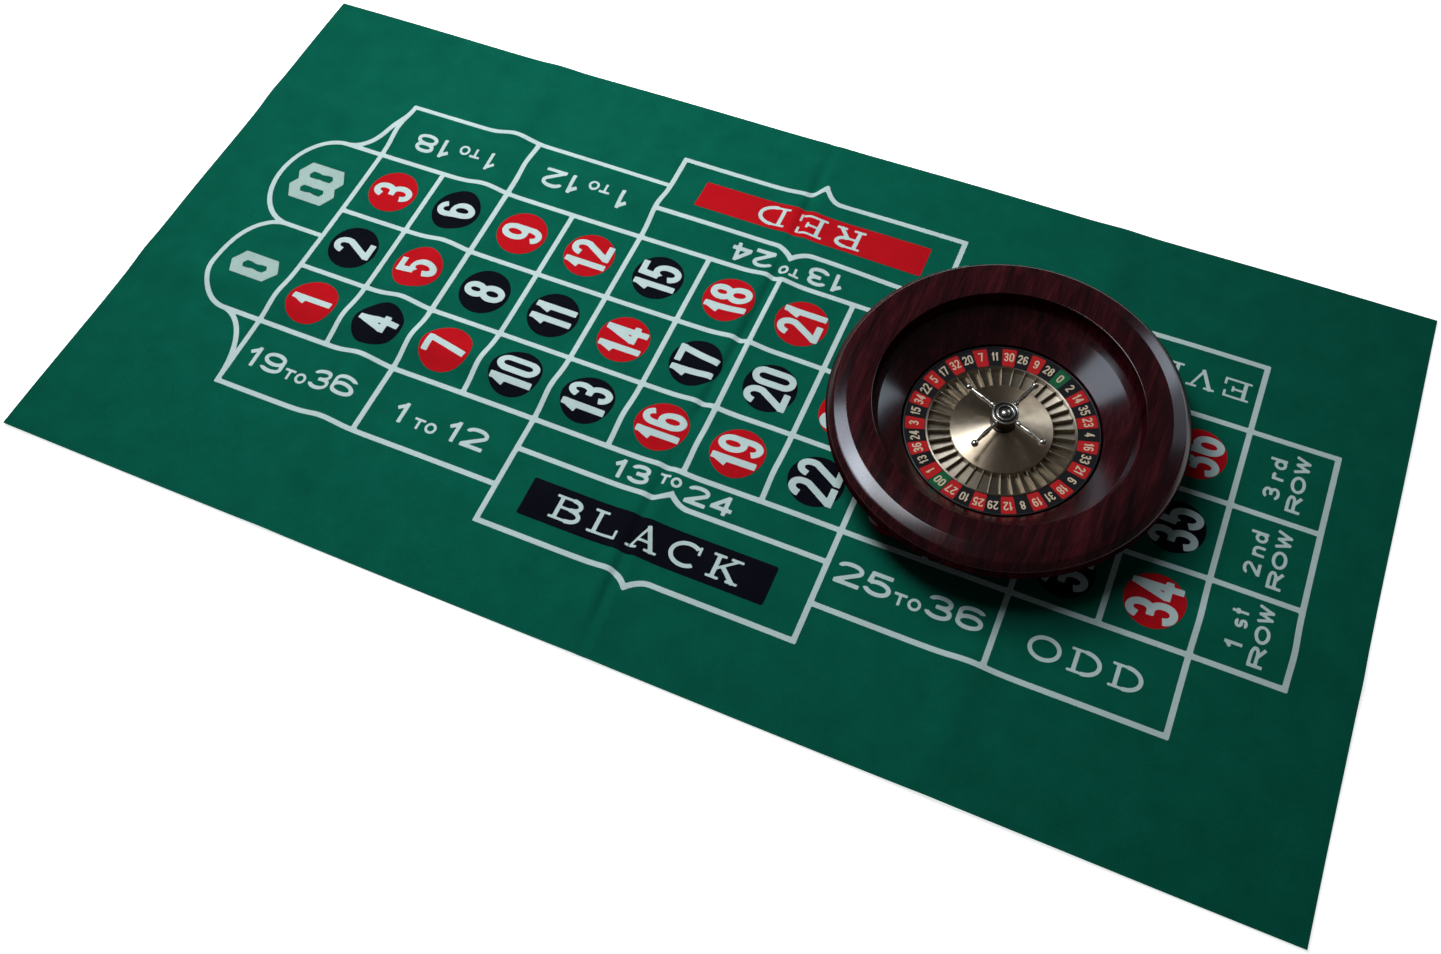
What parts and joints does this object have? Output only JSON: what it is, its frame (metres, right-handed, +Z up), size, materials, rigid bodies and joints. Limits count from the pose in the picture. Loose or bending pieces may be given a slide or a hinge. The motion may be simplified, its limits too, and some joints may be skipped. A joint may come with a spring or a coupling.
{
  "type": "roulette table",
  "caption": "Home roulette table: a printed green felt betting layout with a free-spinning wheel in a glossy wood-look bowl standing on it.",
  "frame": {"origin": "centre of the felt mat's underside, on the table it lies on", "axes": "+X along the mat towards the row boxes, +Y across it towards the far long side, +Z up"},
  "size_m": [1.2, 0.6, 0.0638],
  "materials": {
    "felt": "printed green felt",
    "bowl_plastic": "dark mahogany wood-grain print under gloss",
    "black_plastic": "black satin moulding",
    "foot_rubber": "matt",
    "screw_steel": "bright zinc plate",
    "bearing_steel": "ground",
    "pocket_brass": "satin pale brass",
    "cone_brass": "spun, radially bright",
    "column_bronze": "dark bronze plate",
    "turret_metal": "polished gunmetal plate"
  },
  "bodies": {
    "mat": {"felt_mat": "felt"},
    "wheel_base": {"bowl_rim": "bowl_plastic", "ball_track": "bowl_plastic", "bowl_apron": "bowl_plastic", "well_floor": "bowl_plastic", "base_cover": "black_plastic", "base_screws": "screw_steel", "base_feet": "foot_rubber", "spindle_flange": "bearing_steel", "flange_screws": "screw_steel", "spindle": "bearing_steel", "lower_inner_race": "bearing_steel", "lower_balls": "bearing_steel", "upper_inner_race": "bearing_steel", "upper_balls": "bearing_steel", "bearing_spacer": "screw_steel", "spindle_washer": "screw_steel", "spindle_nut": "screw_steel"},
    "rotor": {"lower_outer_race": "bearing_steel", "upper_outer_race": "bearing_steel", "rotor_dish": "black_plastic", "number_shelf": "black_plastic", "rotor_hub": "black_plastic", "hub_screws": "screw_steel", "number_ring": "black_plastic", "pocket_ring": "pocket_brass", "pocket_frets": "pocket_brass", "rotor_cone": "cone_brass", "turret_column": "column_bronze", "turret_hub": "turret_metal", "turret_ring": "turret_metal", "turret_dome": "turret_metal", "turret_arm_1": "turret_metal", "turret_arm_2": "turret_metal", "turret_arm_3": "turret_metal", "turret_arm_4": "turret_metal"}
  },
  "joints": [
    {"name": "wheel_lift", "type": "slide", "parent": "mat", "child": "wheel_base", "axis": [0, 0, 1], "range_m": [0, 0.1]},
    {"name": "rotor_spin", "type": "hinge", "parent": "wheel_base", "child": "rotor", "pos_m": [0.2625, 0.0274, 0.02], "axis": [0, 0, 1], "continuous": true}
  ]
}
